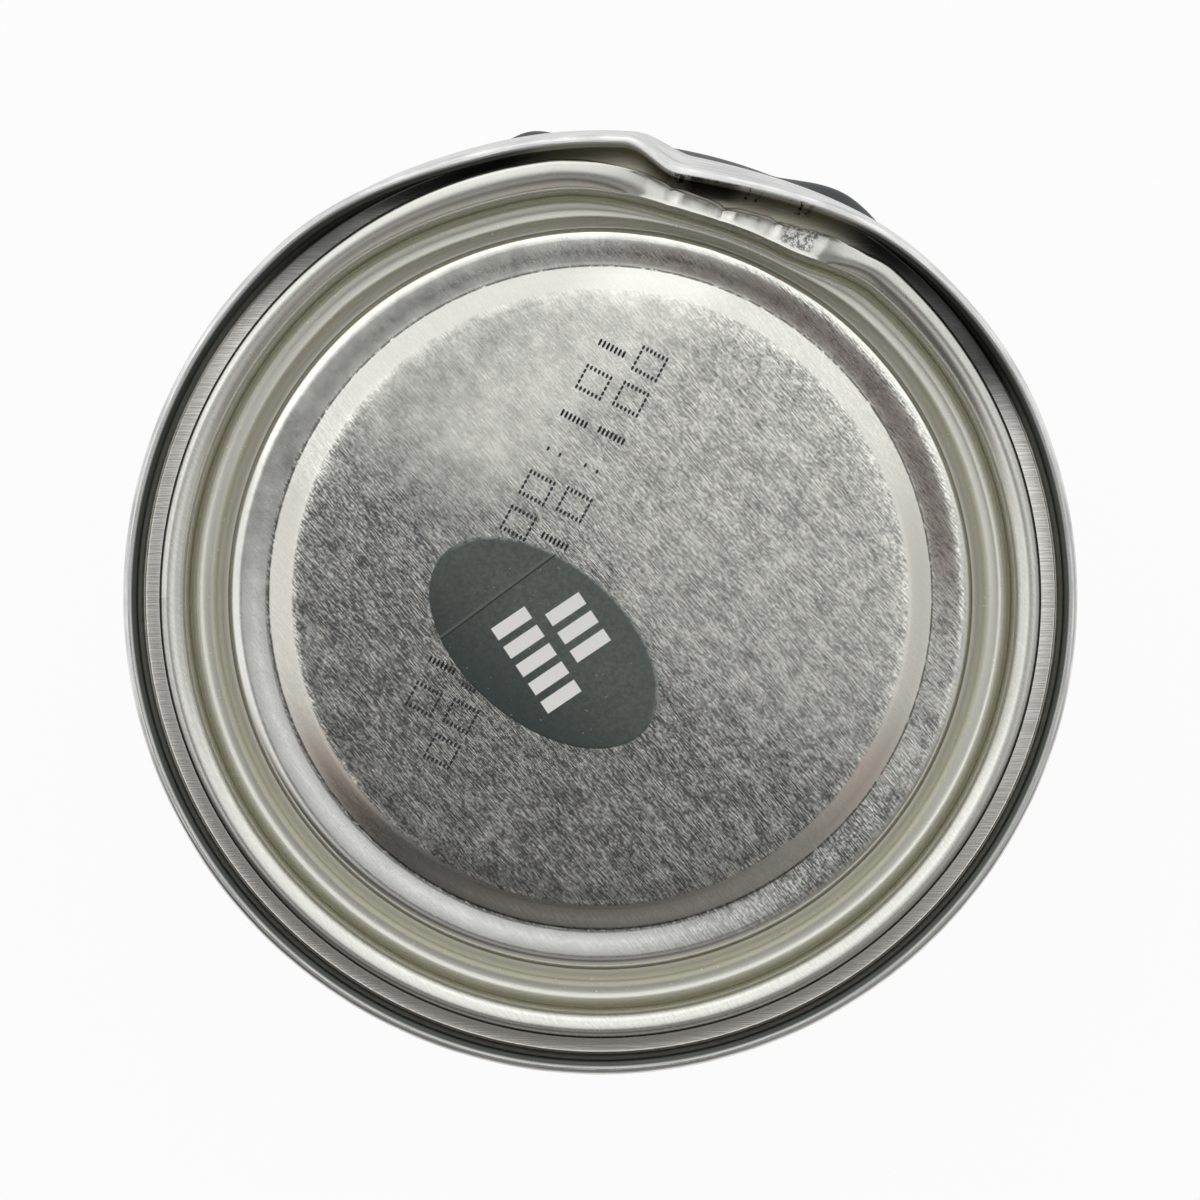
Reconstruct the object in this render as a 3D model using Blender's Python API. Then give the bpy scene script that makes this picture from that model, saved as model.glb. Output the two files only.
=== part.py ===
# A round lever-lid tin with a dented rim: a seamed body, two end pieces, their sealing
# compound, a press-in lid and an oval label on the lid.
# Metres, +Z up, origin at the middle of the base. Angles are in degrees from +X,
# anticlockwise seen from above. Every outline is a plate's centreline given as
# (radius, height above the rim, corner rounding), so heights near the rim are negative.

import math

import bmesh
import bpy
from mathutils import Matrix, Vector

MM = 0.001

# The tin
CAN_HEIGHT = 119.0 * MM
BODY_BORE = 99.0 * MM
BODY_PLATE = 0.22 * MM
END_PLATE = 0.25 * MM
LID_PLATE = 0.25 * MM

# Double seams, the same at both ends
SEAM_HEIGHT = 3.0 * MM
SEAM_GAP = 0.08 * MM  # clear space between neighbouring layers
SEAM_ROUND = 0.3 * MM
BODY_HOOK_GAP = 0.35 * MM  # tip of the body's turned edge to the bend below it
COVER_HOOK_GAP = 0.28 * MM  # tip of the end's turned edge to the body's flange above it
COMPOUND_DEPTH = 0.34 * MM  # sealing bead between the end's top and the body's flange

# Ring seamed to the top of the body
CHUCK_DEPTH = 4.1 * MM  # rim to the ring's floor
CHUCK_TAPER = 0.35 * MM
RING_FLOOR_WIDTH = 2.0 * MM
BEAD_FLANK = 0.6 * MM
BEAD_HEIGHT = 1.2 * MM
BEAD_WIDTH = 1.55 * MM
RING_ROUND = 0.5 * MM
MOUTH_LENGTH = 7.4 * MM  # bead top to the hem
HEM_WIDTH = 0.8 * MM
HEM_HEIGHT = 0.9 * MM

# Lid pressed into the ring's mouth
PLUG_CLEARANCE = 0.2 * MM
SEAT_GAP = 0.3 * MM
CURL_WIDTH = 2.45 * MM
CURL_HEIGHT = 2.2 * MM
CURL_ROUND = 0.95 * MM
CURL_TUCK = 0.75 * MM
GROOVE_DEPTH = 8.0 * MM
GROOVE_WIDTH = 3.5 * MM  # across its floor
GROOVE_ROUND = 1.6 * MM
GROOVE_TAPER = 1.35 * MM  # lean of its inner wall
SHOULDER_DROP = 1.8 * MM  # curl top to the flat ring round the panel
SHOULDER_ROUND = 0.9 * MM
SHOULDER_WIDTH = 4.1 * MM
SHOULDER_TILT = 0.36 * MM  # drop across the flat ring, towards the panel
SLOPE_WIDTH = 2.7 * MM
PANEL_RISE = 0.8 * MM

# Bottom end
COUNTERSINK = 4.0 * MM
COUNTERSINK_ROUND = 0.8 * MM
HEEL_WIDTH = 9.0 * MM
STEP_WIDTH = 1.5 * MM
STEP_HEIGHT = 1.0 * MM

# Oval label on the lid's panel
LABEL_LENGTH = 28.5 * MM
LABEL_WIDTH = 17.1 * MM
LABEL_THICKNESS = 0.12 * MM
LABEL_GAP = 0.05 * MM
LABEL_X = -6.0 * MM
LABEL_Y = -4.8 * MM
LABEL_TURN = -40.3
LABEL_SIDES = 40

# Dent at the back of the rim. Each arc is where it starts, is full, starts to end and ends.
RIM_DENT = 1.3 * MM
RIM_ARC = (22.0, 70.0, 104.0, 132.0)
RIM_FOOT = 0.27  # share of this push that is left at LEAN_DEPTH
KINK_DENT = 2.5 * MM
KINK_ARC = (47.0, 80.5, 80.6, 85.4)
KINK_FOOT = 0.63  # share of this push that is left at LEAN_DEPTH
CURL_DENT = 3.0 * MM
CURL_ARC = (48.0, 62.0, 74.0, 97.0)
CURL_REACH = 8.9 * MM  # how far in from the curl's edge the lid is bent
LEAN_DEPTH = 4.0 * MM
DENT_DEPTH = 14.0 * MM
RIM_SINK = 0.8 * MM
BULGE_OUT = 1.8 * MM
BULGE_ANGLES = (56.5, 98.5)
BULGE_HALF_ARC = 6.0
BULGE_DEPTH = 8.0 * MM
BULGE_HALF_HEIGHT = 5.0 * MM
BULGE_ROWS = (-0.4, 0.0, 0.4, 1.0)  # shares of the bulge's half height where the wall may bend

# Faceting: arcs of the turn with their steps, closer together at the dent
TURN_ARCS = (
    (30, 46, 2),
    (46, 79, 11),
    (79, 88, 6),
    (88, 94, 2),
    (94, 106, 3),
    (106, 140, 3),
    (140, 390, 16),
)
ARC_STEP = math.radians(45)
ARC_SLACK = math.radians(0.1)
SHARP_ANGLE = math.radians(35)
WELD = 0.001 * MM

# Radii of the seam's layers, from the inside out
body_wall = BODY_BORE / 2 + BODY_PLATE / 2
chuck_wall = BODY_BORE / 2 - SEAM_GAP - END_PLATE / 2
cover_hook = BODY_BORE / 2 + BODY_PLATE + SEAM_GAP + END_PLATE / 2
body_hook = cover_hook + END_PLATE / 2 + SEAM_GAP + BODY_PLATE / 2
outer_wall = body_hook + BODY_PLATE / 2 + SEAM_GAP + END_PLATE / 2

# Depths of the seam's layers below its end of the tin
panel_depth = END_PLATE / 2
compound_depth = END_PLATE + SEAM_GAP
flange_depth = compound_depth + COMPOUND_DEPTH + SEAM_GAP + BODY_PLATE / 2
bend_depth = SEAM_HEIGHT - END_PLATE / 2
body_hook_depth = bend_depth - END_PLATE / 2 - BODY_HOOK_GAP
cover_hook_depth = flange_depth + BODY_PLATE / 2 + COVER_HOOK_GAP

# Ring, from the chuck wall inwards
chuck_foot = chuck_wall - CHUCK_TAPER
bead_foot = chuck_foot - RING_FLOOR_WIDTH
bead_edge = bead_foot - BEAD_FLANK
mouth_wall = bead_edge - BEAD_WIDTH
bead_depth = CHUCK_DEPTH - BEAD_HEIGHT
mouth_depth = bead_depth + MOUTH_LENGTH

# Lid, from its plug wall outwards and inwards
plug_wall = mouth_wall - END_PLATE / 2 - PLUG_CLEARANCE - LID_PLATE / 2
curl_edge = plug_wall + CURL_WIDTH
curl_outside = curl_edge + LID_PLATE / 2
curl_foot = bead_depth - END_PLATE / 2 - SEAT_GAP - LID_PLATE / 2
curl_top = curl_foot - CURL_HEIGHT + LID_PLATE
groove_floor = curl_top + GROOVE_DEPTH
groove_wall = plug_wall - GROOVE_WIDTH
shoulder_edge = groove_wall - GROOVE_TAPER
shoulder_depth = curl_top + SHOULDER_DROP
slope_foot = shoulder_edge - SHOULDER_WIDTH
panel_edge = slope_foot - SLOPE_WIDTH
lid_panel_depth = shoulder_depth - PANEL_RISE
dent_start = curl_outside - CURL_REACH


def ramp(value, low, high):
    """Smooth step from 0 at low to 1 at high."""
    share = min(1.0, max(0.0, (value - low) / (high - low)))
    return share * share * (3 - 2 * share)


def arc_window(angle, arc):
    start, full, ending, end = arc
    return ramp(angle, start, full) * (1 - ramp(angle, ending, end))


def bulge(angle, depth):
    """How far the wall is pushed out beside the dent, from 0 to 1."""
    height = ramp(BULGE_HALF_HEIGHT - abs(depth - BULGE_DEPTH), 0, BULGE_HALF_HEIGHT)
    return height * sum(
        ramp(BULGE_HALF_ARC - abs(angle - middle), 0, BULGE_HALF_ARC) for middle in BULGE_ANGLES
    )


def lid_push(radius, angle, depth):
    """Push on the lid and the mouth. Near the rim depth has no part in it, so the lid lifts straight out."""
    reach = min(1.0, max(0.0, (radius - dent_start) / CURL_REACH))
    broad = arc_window(angle, RIM_ARC)
    crumple = broad + (arc_window(angle, CURL_ARC) - broad) * reach
    near_rim = 1 - ramp(depth, DENT_DEPTH, 2 * DENT_DEPTH)
    return CURL_DENT * crumple * ramp(radius, dent_start, curl_outside) * near_rim


def lean(foot, depth):
    """Share of a push on the rim at a depth: even down the seam, so that its layers stay parallel."""
    return foot + (1 - foot) * max(0.0, 1 - depth / LEAN_DEPTH)


def dented(point):
    """The point moved inwards, and a little down, by the dent."""
    radius = math.hypot(point.x, point.y)
    if radius <= dent_start:
        return point
    angle = math.degrees(math.atan2(point.y, point.x))
    depth = -point.z
    rim = RIM_DENT * arc_window(angle, RIM_ARC)
    kink = KINK_DENT * arc_window(angle, KINK_ARC)
    leaning = rim * lean(RIM_FOOT, depth) + kink * lean(KINK_FOOT, depth)
    rim_push = leaning * (1 - ramp(depth, LEAN_DEPTH, DENT_DEPTH)) - BULGE_OUT * bulge(angle, depth)
    on_rim = ramp(radius, curl_outside, chuck_foot - END_PLATE / 2)
    push = lid_push(radius, angle, depth) * (1 - on_rim) + rim_push * on_rim
    sink = RIM_SINK * (rim + kink) / (RIM_DENT + KINK_DENT) * (1 - ramp(depth, 0, DENT_DEPTH)) * on_rim
    kept = 1 - push / radius
    return Vector((point.x * kept, point.y * kept, point.z - sink))


def rounded(corners):
    """Points of a centreline, with each corner rounded by its own radius."""
    points = []
    for index, (radius, height, rounding) in enumerate(corners):
        corner = Vector((radius, height))
        if not rounding:
            points.append(corner)
            continue
        back = (Vector(corners[index - 1][:2]) - corner).normalized()
        ahead = (Vector(corners[index + 1][:2]) - corner).normalized()
        turn = math.pi - back.angle(ahead)
        centre = corner + (back + ahead).normalized() * rounding / math.cos(turn / 2)
        first = corner + back * rounding * math.tan(turn / 2) - centre
        way = math.copysign(turn, back.cross(ahead) * -1)
        steps = math.ceil((turn - ARC_SLACK) / ARC_STEP)
        points += [
            centre + Matrix.Rotation(way * step / steps, 2) @ first for step in range(steps + 1)
        ]
    return points


def sheet(corners, plate):
    """Outline of a plate along a centreline: down one face and back up the other."""
    line = rounded(corners)
    ways = [(b - a).normalized() for a, b in zip(line, line[1:])]
    faces = [], []
    for point, before, after in zip(line, ways[:1] + ways, ways + ways[-1:]):
        normals = Vector((-before.y, before.x)) + Vector((-after.y, after.x))
        mitre = normals * (plate / 2) / (1 + before.dot(after))
        faces[0].append(point + mitre)
        faces[1].append(point - mitre)
    return faces[0] + faces[1][::-1]


def at_base(corners):
    """The same corners turned upside down, for the bottom end of the tin."""
    return [(radius, -CAN_HEIGHT - height, rounding) for radius, height, rounding in corners]


def seam_of_end():
    """Corners of an end piece's edge, from the tip of its hook in to the chuck wall."""
    return [
        (cover_hook, -cover_hook_depth, 0),
        (cover_hook, -bend_depth, 0),
        (outer_wall, -bend_depth, 0),
        (outer_wall, -panel_depth, SEAM_ROUND),
        (chuck_wall, -panel_depth, SEAM_ROUND),
    ]


def wall_depths():
    """Depths where the wall may bend: the seam's foot, the lean, the bulges and the dent's end."""
    bulges = [BULGE_DEPTH + share * BULGE_HALF_HEIGHT for share in BULGE_ROWS]
    return [SEAM_HEIGHT, LEAN_DEPTH] + bulges + [(bulges[-1] + DENT_DEPTH) / 2, DENT_DEPTH]


def body_corners():
    flange = [
        (body_hook, -body_hook_depth, 0),
        (body_hook, -flange_depth, 0),
        (body_wall, -flange_depth, 0),
    ]
    wall = [(body_wall, -depth, 0) for depth in wall_depths()]
    return flange + wall + at_base(flange)[::-1]


def ring_corners():
    hem = mouth_wall + HEM_WIDTH
    return seam_of_end() + [
        (chuck_foot, -CHUCK_DEPTH, RING_ROUND),
        (bead_foot, -CHUCK_DEPTH, RING_ROUND),
        (bead_edge, -bead_depth, RING_ROUND),
        (mouth_wall, -bead_depth, RING_ROUND),
        (mouth_wall, -mouth_depth, 0),
        (hem, -mouth_depth, 0),
        (hem, -mouth_depth + HEM_HEIGHT, 0),
    ]


def bottom_corners():
    heel = chuck_foot - HEEL_WIDTH
    return at_base(
        seam_of_end()
        + [
            (chuck_foot, -COUNTERSINK, COUNTERSINK_ROUND),
            (heel, -COUNTERSINK, 0),
            (heel - STEP_WIDTH, -COUNTERSINK + STEP_HEIGHT, 0),
            (0, -COUNTERSINK + STEP_HEIGHT, 0),
        ]
    )


def lid_corners():
    return [
        (curl_edge - CURL_TUCK, -curl_foot, 0),
        (curl_edge, -curl_foot, CURL_TUCK / 2),
        (curl_edge, -curl_top, CURL_ROUND),
        (plug_wall, -curl_top, CURL_ROUND),
        (plug_wall, -groove_floor, GROOVE_ROUND),
        (groove_wall, -groove_floor, GROOVE_ROUND),
        (shoulder_edge, -shoulder_depth, SHOULDER_ROUND),
        (slope_foot, -shoulder_depth - SHOULDER_TILT, 0),
        (panel_edge, -lid_panel_depth, 0),
        (0, -lid_panel_depth, 0),
    ]


def compound_outline():
    """Square bead that fills the space between the end's top and the body's flange."""
    inside = chuck_wall + END_PLATE / 2 + SEAM_GAP
    outside = outer_wall - END_PLATE / 2 - SEAM_GAP
    top = -compound_depth
    bottom = top - COMPOUND_DEPTH
    return [Vector(corner) for corner in ((outside, top), (outside, bottom), (inside, bottom), (inside, top))]


def material(name, colour, roughness, metallic):
    made = bpy.data.materials.new(name)
    made.use_nodes = True
    shader = made.node_tree.nodes["Principled BSDF"]
    shader.inputs["Base Color"].default_value = (*colour, 1)
    shader.inputs["Roughness"].default_value = roughness
    shader.inputs["Metallic"].default_value = metallic
    return made


def add_object(name, bm, finish, parent):
    mesh = bpy.data.meshes.new(name)
    bmesh.ops.recalc_face_normals(bm, faces=bm.faces)
    bm.to_mesh(mesh)
    bm.free()
    mesh.shade_smooth()
    mesh.set_sharp_from_angle(angle=SHARP_ANGLE)
    mesh.materials.append(finish)
    made = bpy.data.objects.new(name, mesh)
    made.parent = parent
    bpy.context.collection.objects.link(made)
    return made


def turned(name, outline, finish, parent):
    """An outline spun round the tin's axis, arc by arc, and then dented."""
    bm = bmesh.new()
    start = Matrix.Rotation(math.radians(TURN_ARCS[0][0]), 3, "Z")
    verts = [bm.verts.new(start @ Vector((point.x, 0, point.y))) for point in outline]
    pairs = zip(verts, verts[1:] + verts[:1])
    edges = [bm.edges.new(pair) for pair in pairs if max(v.co.xy.length for v in pair) > WELD]
    front = verts + edges
    for begin, end, steps in TURN_ARCS:
        spun = bmesh.ops.spin(
            bm, geom=front, cent=(0, 0, 0), axis=(0, 0, 1), angle=math.radians(end - begin), steps=steps
        )
        front = spun["geom_last"]
    bmesh.ops.remove_doubles(bm, verts=bm.verts, dist=WELD)
    for vert in bm.verts:
        vert.co = dented(vert.co)
    return add_object(name, bm, finish, parent)


def label(finish, parent):
    bm = bmesh.new()
    bmesh.ops.create_circle(bm, cap_ends=True, radius=0.5, segments=LABEL_SIDES)
    bmesh.ops.scale(bm, verts=bm.verts, vec=(LABEL_LENGTH, LABEL_WIDTH, 1))
    raised = bmesh.ops.extrude_face_region(bm, geom=bm.faces[:])["geom"]
    top = [item for item in raised if isinstance(item, bmesh.types.BMVert)]
    bmesh.ops.translate(bm, verts=top, vec=(0, 0, LABEL_THICKNESS))
    made = add_object("lid_label", bm, finish, parent)
    made.location = (LABEL_X, LABEL_Y, -lid_panel_depth + LID_PLATE / 2 + LABEL_GAP)
    made.rotation_euler.z = math.radians(LABEL_TURN)


def datum(name, height):
    empty = bpy.data.objects.new(name, None)
    empty.location.z = height
    bpy.context.collection.objects.link(empty)
    return empty


def main():
    for old in list(bpy.data.objects):
        bpy.data.objects.remove(old)
    coated = material("coated_plate", (0.026, 0.030, 0.034), 0.35, 0.0)
    tinplate = material("tinplate", (0.62, 0.62, 0.60), 0.30, 1.0)
    lacquered = material("lacquered_tinplate", (0.60, 0.59, 0.50), 0.32, 1.0)
    compound = material("sealing_compound", (0.20, 0.21, 0.19), 0.7, 0.0)
    sticker = material("label_film", (0.050, 0.066, 0.060), 0.55, 0.0)

    rim = datum("rim_datum", CAN_HEIGHT)
    lift = datum("lid_lift_axis", CAN_HEIGHT)
    turned("can_body", sheet(body_corners(), BODY_PLATE), coated, rim)
    turned("bottom_end", sheet(bottom_corners(), END_PLATE), tinplate, rim)
    turned("top_ring", sheet(ring_corners(), END_PLATE), lacquered, rim)
    turned("top_seam_compound", compound_outline(), compound, rim)
    base_outline = [Vector((point.x, -CAN_HEIGHT - point.y)) for point in compound_outline()]
    turned("bottom_seam_compound", base_outline, compound, rim)
    turned("lid", sheet(lid_corners(), LID_PLATE), tinplate, lift)
    label(sticker, lift)


main()
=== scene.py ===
import math

import bpy
import numpy as np
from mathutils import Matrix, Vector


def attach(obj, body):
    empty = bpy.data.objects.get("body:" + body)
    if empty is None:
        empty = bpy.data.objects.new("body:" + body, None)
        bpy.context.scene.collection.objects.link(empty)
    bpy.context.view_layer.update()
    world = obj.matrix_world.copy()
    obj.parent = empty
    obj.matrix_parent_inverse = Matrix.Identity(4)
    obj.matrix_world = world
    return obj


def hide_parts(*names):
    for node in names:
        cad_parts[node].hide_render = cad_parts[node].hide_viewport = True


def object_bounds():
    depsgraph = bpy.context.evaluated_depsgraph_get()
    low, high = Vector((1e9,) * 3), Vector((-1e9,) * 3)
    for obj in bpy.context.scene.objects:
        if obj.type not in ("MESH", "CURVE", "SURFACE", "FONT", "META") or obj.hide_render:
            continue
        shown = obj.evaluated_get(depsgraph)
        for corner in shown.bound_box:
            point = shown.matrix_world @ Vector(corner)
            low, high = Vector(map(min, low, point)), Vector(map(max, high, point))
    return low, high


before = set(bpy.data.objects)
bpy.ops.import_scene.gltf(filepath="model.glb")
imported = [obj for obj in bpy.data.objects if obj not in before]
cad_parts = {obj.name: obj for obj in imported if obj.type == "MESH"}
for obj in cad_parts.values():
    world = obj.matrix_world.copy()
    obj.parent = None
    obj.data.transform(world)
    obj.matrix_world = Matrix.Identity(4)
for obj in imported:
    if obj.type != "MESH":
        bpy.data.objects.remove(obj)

cadBox = [list(corner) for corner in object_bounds()]  # the CAD model's box, before anything is added
mm = 0.001  # every size below is in millimetres, heights are from the rim, angles in degrees from +X
canHeight = cadBox[1][2] / mm

tin = {"bore": 99.0, "bodyPlate": 0.22, "endPlate": 0.25, "lidPlate": 0.25}
seam = {
    "height": 3.0, "gap": 0.08, "round": 0.45, "innerRound": 0.8, "hookRound": 0.2, "footRound": 0.3,
    "flangeRound": 0.25, "bodyHookGap": 0.35, "coverHookGap": 0.28, "compound": 0.34,
}
ringSize = {
    "chuckDepth": 4.1, "chuckTaper": 0.35, "floorWidth": 2.0, "beadFlank": 0.6, "beadHeight": 1.2,
    "beadWidth": 1.55, "round": 0.5, "mouthLength": 7.4, "hemWidth": 0.8, "hemHeight": 0.9, "hemRound": 0.36,
}
lidSize = {
    "clearance": 0.2, "seatGap": 0.3, "curlWidth": 2.45, "curlHeight": 2.2, "curlRound": 0.8,
    "curlInnerRound": 1.5, "curlFootRound": 0.36, "curlTuck": 0.75, "grooveDepth": 8.0, "grooveWidth": 3.5,
    "grooveRound": 1.6, "grooveTaper": 1.35, "shoulderDrop": 1.8, "shoulderRound": 1.5, "shoulderWidth": 4.1,
    "shoulderTilt": 0.36, "creaseRound": 0.2, "slopeWidth": 2.7, "slopeRound": 3.2, "panelRise": 0.8,
}
bottomSize = {
    "countersink": 4.0, "round": 0.8, "heelWidth": 9.0, "stepWidth": 1.5, "stepHeight": 1.0, "stepRound": 1.0,
}
dent = {
    "rim": 1.6, "rimArc": (22, 70, 104, 132), "rimFoot": 0.22, "kink": 2.6, "kinkArc": (47, 79.4, 79.6, 87.2),
    "kinkFoot": 0.5, "kinkSlant": 2.2, "curl": 3.0, "curlArc": (48, 62, 74, 97), "curlReach": 8.9,
    "leanDepth": 4.0, "depth": 14.0, "sink": 0.8,
    "bulges": ((59.0, 11.5, 1.8), (98.5, 7.0, 1.4)),  # angle, half arc and size of each
    "bulgeDepth": 8.0, "bulgeHalfHeight": 5.0,
}
crumple = {  # the crushed stretch of the lid's edge, by angle: drops of its two sides, and its push
    "arc": (50, 60, 80, 95), "sink": 0.35, "tilt": 0.05, "press": (-1, 0.7), "fade": 0.4, "inset": 0.5,
    "angles": (52, 55, 57.2, 59.5, 62, 64, 64.9, 65.8, 67, 68.8, 70.4, 71.5, 72.3, 73.1, 74.6, 76.4, 78.2,
               79.4, 80.1, 81, 83.6, 88, 93),
    "outer": (0, 0, -0.25, 0, 0.1, 0.15, 0.5, 0.1, -0.12, 0.02, -0.14, 0.1, 0.6, 0.05, -0.1, 0, -0.12,
              0.1, 0.5, 0.1, -0.2, -0.1, 0),
    "inner": (0, 0, -0.05, 0.1, 0.15, 0.2, 0.35, 0.2, 0.05, 0.1, 0.06, 0.15, 0.4, 0.25, 0.08, 0.1, 0.1,
              0.15, 0.4, 0.15, -0.1, 0, 0),
    "push": (0, -0.4, -0.9, -1.0, -0.7, -0.4, -0.2, -0.35, -0.2, -0.05, 0.1, 0.3, 0.5, 0.25, 0.05, 0, 0,
             0.05, 0.2, 0, -0.2, -0.1, 0),
}
weld = {
    "angle": -110.0, "halfArc": 0.9, "core": 0.35, "height": 0.12, "low": -113.0, "high": -6.0, "fade": 1.0,
}
gridStep = {  # longest step along each profile, and the steps on a rounded corner
    "ring": 0.9, "dentedWall": 0.8, "plainWall": 12.0, "lid": 1.6, "bottom": 2.4,
    "arcDegrees": 11, "leastArc": 3,
}
turnSteps = ((104, 402, 1.25), (402.4, 463.8, 0.4))  # round the axis: the plain stretch, then the dented one
turnAngles = np.concatenate([np.arange(*steps) for steps in turnSteps])
sharpAngle = 40  # faces that meet more sharply than this keep their edge

# radii of the seam's layers, then of the ring and the lid, worked out as the tin is stacked
boreRadius = tin["bore"] / 2
bodyWall = boreRadius + tin["bodyPlate"] / 2
chuckWall = boreRadius - seam["gap"] - tin["endPlate"] / 2
coverHook = boreRadius + tin["bodyPlate"] + seam["gap"] + tin["endPlate"] / 2
bodyHook = coverHook + tin["endPlate"] / 2 + seam["gap"] + tin["bodyPlate"] / 2
outerWall = bodyHook + tin["bodyPlate"] / 2 + seam["gap"] + tin["endPlate"] / 2
flangeDepth = tin["endPlate"] + 2 * seam["gap"] + seam["compound"] + tin["bodyPlate"] / 2
bendDepth = seam["height"] - tin["endPlate"] / 2
chuckFoot = chuckWall - ringSize["chuckTaper"]
beadFoot = chuckFoot - ringSize["floorWidth"]
beadEdge = beadFoot - ringSize["beadFlank"]
mouthWall = beadEdge - ringSize["beadWidth"]
beadDepth = ringSize["chuckDepth"] - ringSize["beadHeight"]
plugWall = mouthWall - tin["endPlate"] / 2 - lidSize["clearance"] - tin["lidPlate"] / 2
curlEdge = plugWall + lidSize["curlWidth"]
curlOutside = curlEdge + tin["lidPlate"] / 2
curlFoot = beadDepth - tin["endPlate"] / 2 - lidSize["seatGap"] - tin["lidPlate"] / 2
curlTop = curlFoot - lidSize["curlHeight"] + tin["lidPlate"]
grooveWall = plugWall - lidSize["grooveWidth"]
shoulderEdge = grooveWall - lidSize["grooveTaper"]
shoulderDepth = curlTop + lidSize["shoulderDrop"]
slopeFoot = shoulderEdge - lidSize["shoulderWidth"]
panelEdge = slopeFoot - lidSize["slopeWidth"]
panelDepth = shoulderDepth - lidSize["panelRise"]
panelTop = canHeight - panelDepth + tin["lidPlate"] / 2
print("sizes worked out: rim", round(outerWall, 2), "panel", round(panelEdge, 2))


def smooth(value, low, high):  # 3s^2 - 2s^3, where s runs from 0 at low to 1 at high
    share = np.clip((value - low) / (high - low), 0, 1)
    return share * share * (3 - 2 * share)


def arcWindow(angle, arc):  # rises over the first two angles and falls over the last two
    return smooth(angle, arc[0], arc[1]) * (1 - smooth(angle, arc[2], arc[3]))


def turned(x, y, at, turn):  # distances along and across a line through a point, for arrays and sockets alike
    way = math.radians(turn)
    east, north = x - at[0], y - at[1]
    return east * math.cos(way) + north * math.sin(way), north * math.cos(way) - east * math.sin(way)


def crumpledCurl(radius, angle, height):  # the curl's round top is pressed flat, then folded in facets
    inside, outside = lidSize["curlInnerRound"], lidSize["curlRound"]
    rising = np.clip(plugWall + inside - radius, 0, inside)
    falling = np.clip(radius - curlEdge + outside, 0, outside)
    crown = np.sqrt(inside ** 2 - rising ** 2) - inside + np.sqrt(outside ** 2 - falling ** 2) - outside
    share = np.clip((radius - plugWall) / (curlEdge - plugWall), 0, 1)
    level = -crumple["sink"] - crumple["tilt"] * share
    flat = np.clip(level - crown, *crumple["press"]) * arcWindow(angle, crumple["arc"])
    kinds = ("inner", "outer", "push")
    near, far, push = (np.interp(angle, crumple["angles"], crumple[kind]) for kind in kinds)
    upper = smooth(height, -curlTop - inside, -curlTop - crumple["fade"] * inside)
    upper = upper * smooth(radius, plugWall - crumple["inset"], plugWall)
    return (near + (far - near) * share - flat) * upper, push * smooth(share, 0, 1)


def dented(radius, angle, height):  # new radius and height: the rim leans in, the lid's edge follows
    depth = -height
    broad = arcWindow(angle, dent["rimArc"])
    slant = dent["kinkSlant"] * np.clip(depth / dent["leanDepth"], 0, 1)  # the kink runs aslant down the seam
    rim = dent["rim"] * broad
    kink = dent["kink"] * arcWindow(angle + slant, dent["kinkArc"])
    upper = np.clip(1 - depth / dent["leanDepth"], 0, None)
    pushes = ((rim, dent["rimFoot"]), (kink, dent["kinkFoot"]))
    lean = sum(push * (foot + (1 - foot) * upper) for push, foot in pushes)
    fade = 1 - smooth(depth, dent["leanDepth"], dent["depth"])
    tall = smooth(dent["bulgeHalfHeight"] - np.abs(depth - dent["bulgeDepth"]), 0, dent["bulgeHalfHeight"])
    out = sum(size * smooth(half - np.abs(angle - at), 0, half) for at, half, size in dent["bulges"])
    rimPush = lean * fade - tall * out
    start = curlOutside - dent["curlReach"]
    reach = np.clip((radius - start) / (curlOutside - start), 0, 1)
    sharp = broad + (arcWindow(angle, dent["curlArc"]) - broad) * reach
    nearRim = 1 - smooth(depth, dent["depth"], 2 * dent["depth"])
    down, wobble = crumpledCurl(radius, angle, height)
    lidPush = (dent["curl"] * sharp * smooth(radius, start, curlOutside) + wobble) * nearRim
    onRim = smooth(radius, curlOutside, chuckFoot - tin["endPlate"] / 2)
    pushed = (rim + kink) / (dent["rim"] + dent["kink"])
    sink = dent["sink"] * pushed * (1 - smooth(depth, 0, dent["depth"])) * onRim
    return radius - lidPush * (1 - onRim) - rimPush * onRim, height - sink - down * (1 - onRim) * nearRim


def weldRidge(radius, angle, height):  # the side weld's overlap stands out along one upright line of the body
    beside = 1 - smooth(np.abs(angle - weld["angle"]), weld["core"] * weld["halfArc"], weld["halfArc"])
    onWall = np.abs(radius - bodyWall) < tin["bodyPlate"]
    above = smooth(height, weld["low"] - weld["fade"], weld["low"])
    below = 1 - smooth(height, weld["high"], weld["high"] + weld["fade"])
    return weld["height"] * beside * onWall * above * below


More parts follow.
